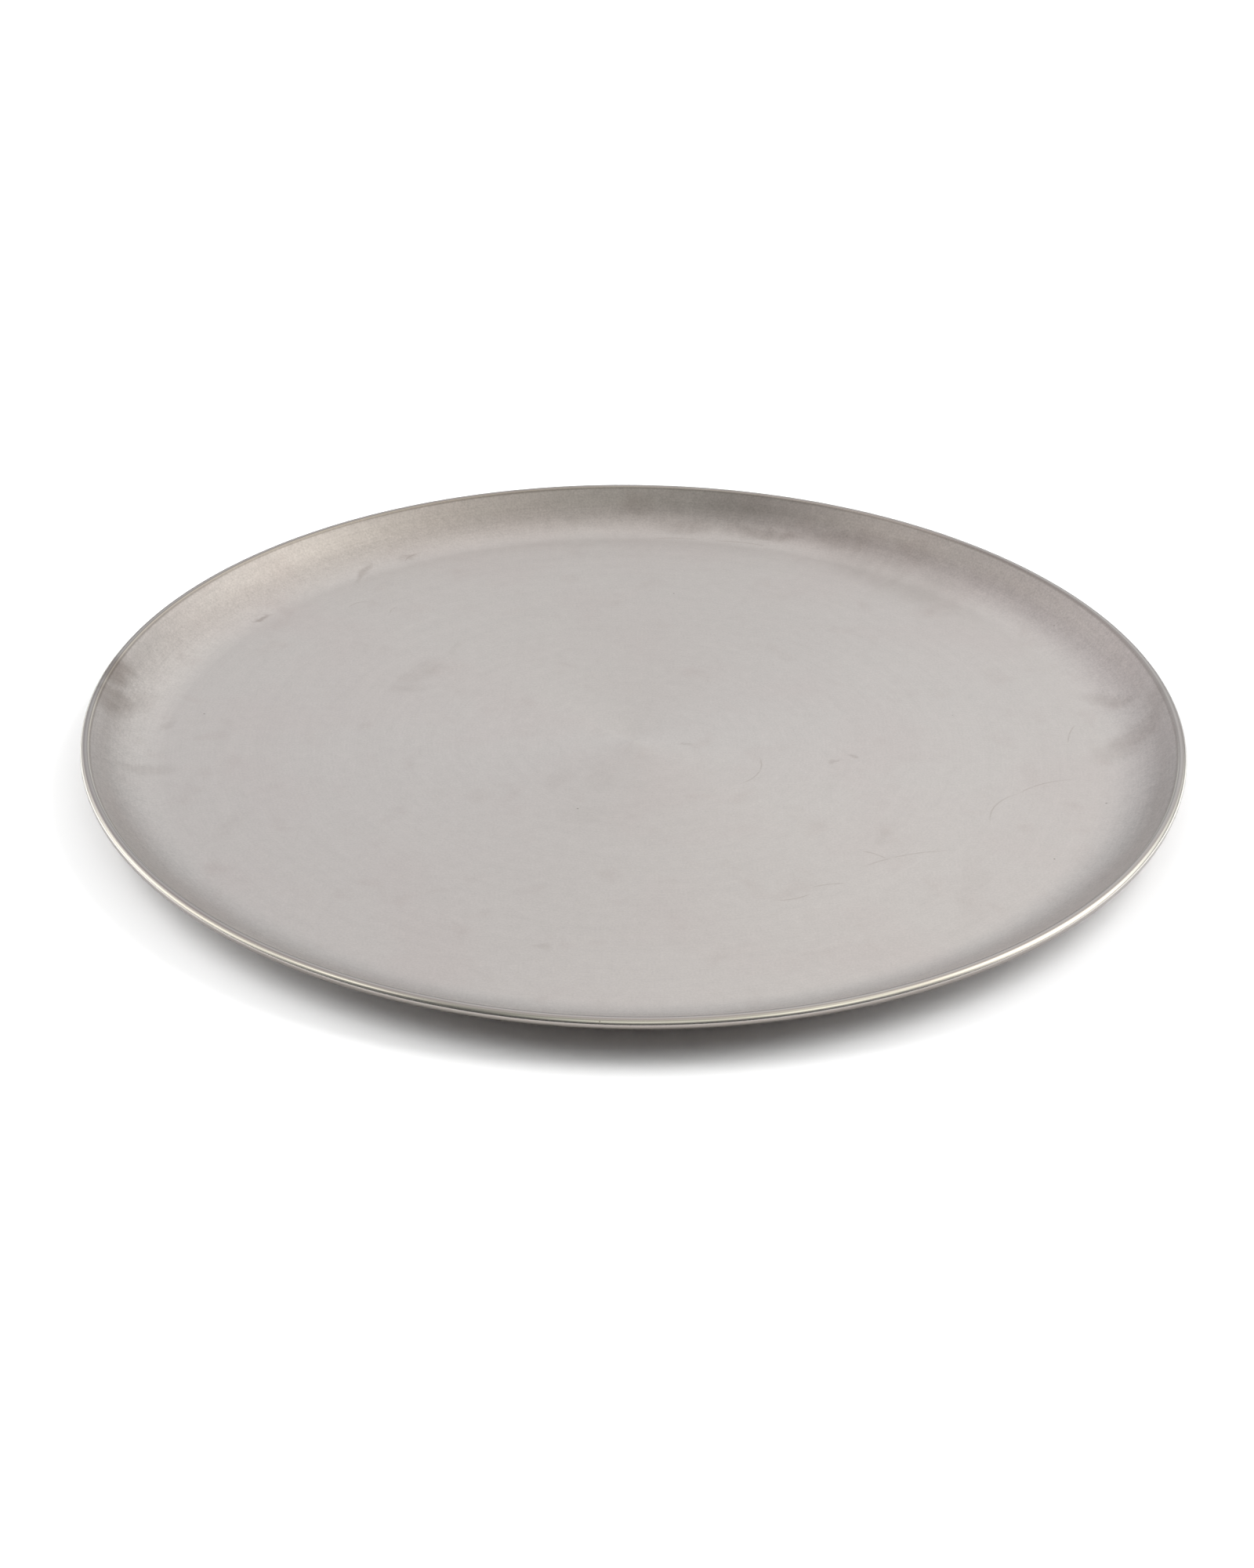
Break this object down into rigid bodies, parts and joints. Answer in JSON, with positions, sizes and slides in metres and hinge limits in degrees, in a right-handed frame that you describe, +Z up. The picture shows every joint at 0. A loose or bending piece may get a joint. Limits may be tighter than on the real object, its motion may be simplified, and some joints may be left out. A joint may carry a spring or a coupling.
{
  "type": "round serving tray",
  "caption": "Shallow round serving tray in satin steel: flat floor, coved and flared low wall, and a wired rolled rim; carries glasses, cups and food.",
  "frame": {"origin": "middle of the underside, on the surface that the tray rests on", "axes": "+Z up along the tray's axis, +X to the right and +Y away from the viewer in the picture"},
  "size_m": [0.35, 0.35, 0.012],
  "materials": {
    "satin_steel": "satin, brushed in circles about the middle of the tray, brighter and smoother on the rolled rim",
    "drawn_wire": "plain drawn wire, hidden in the roll"
  },
  "bodies": {
    "root": {"tray_sheet": "satin_steel", "rim_wire": "drawn_wire"}
  },
  "joints": []
}
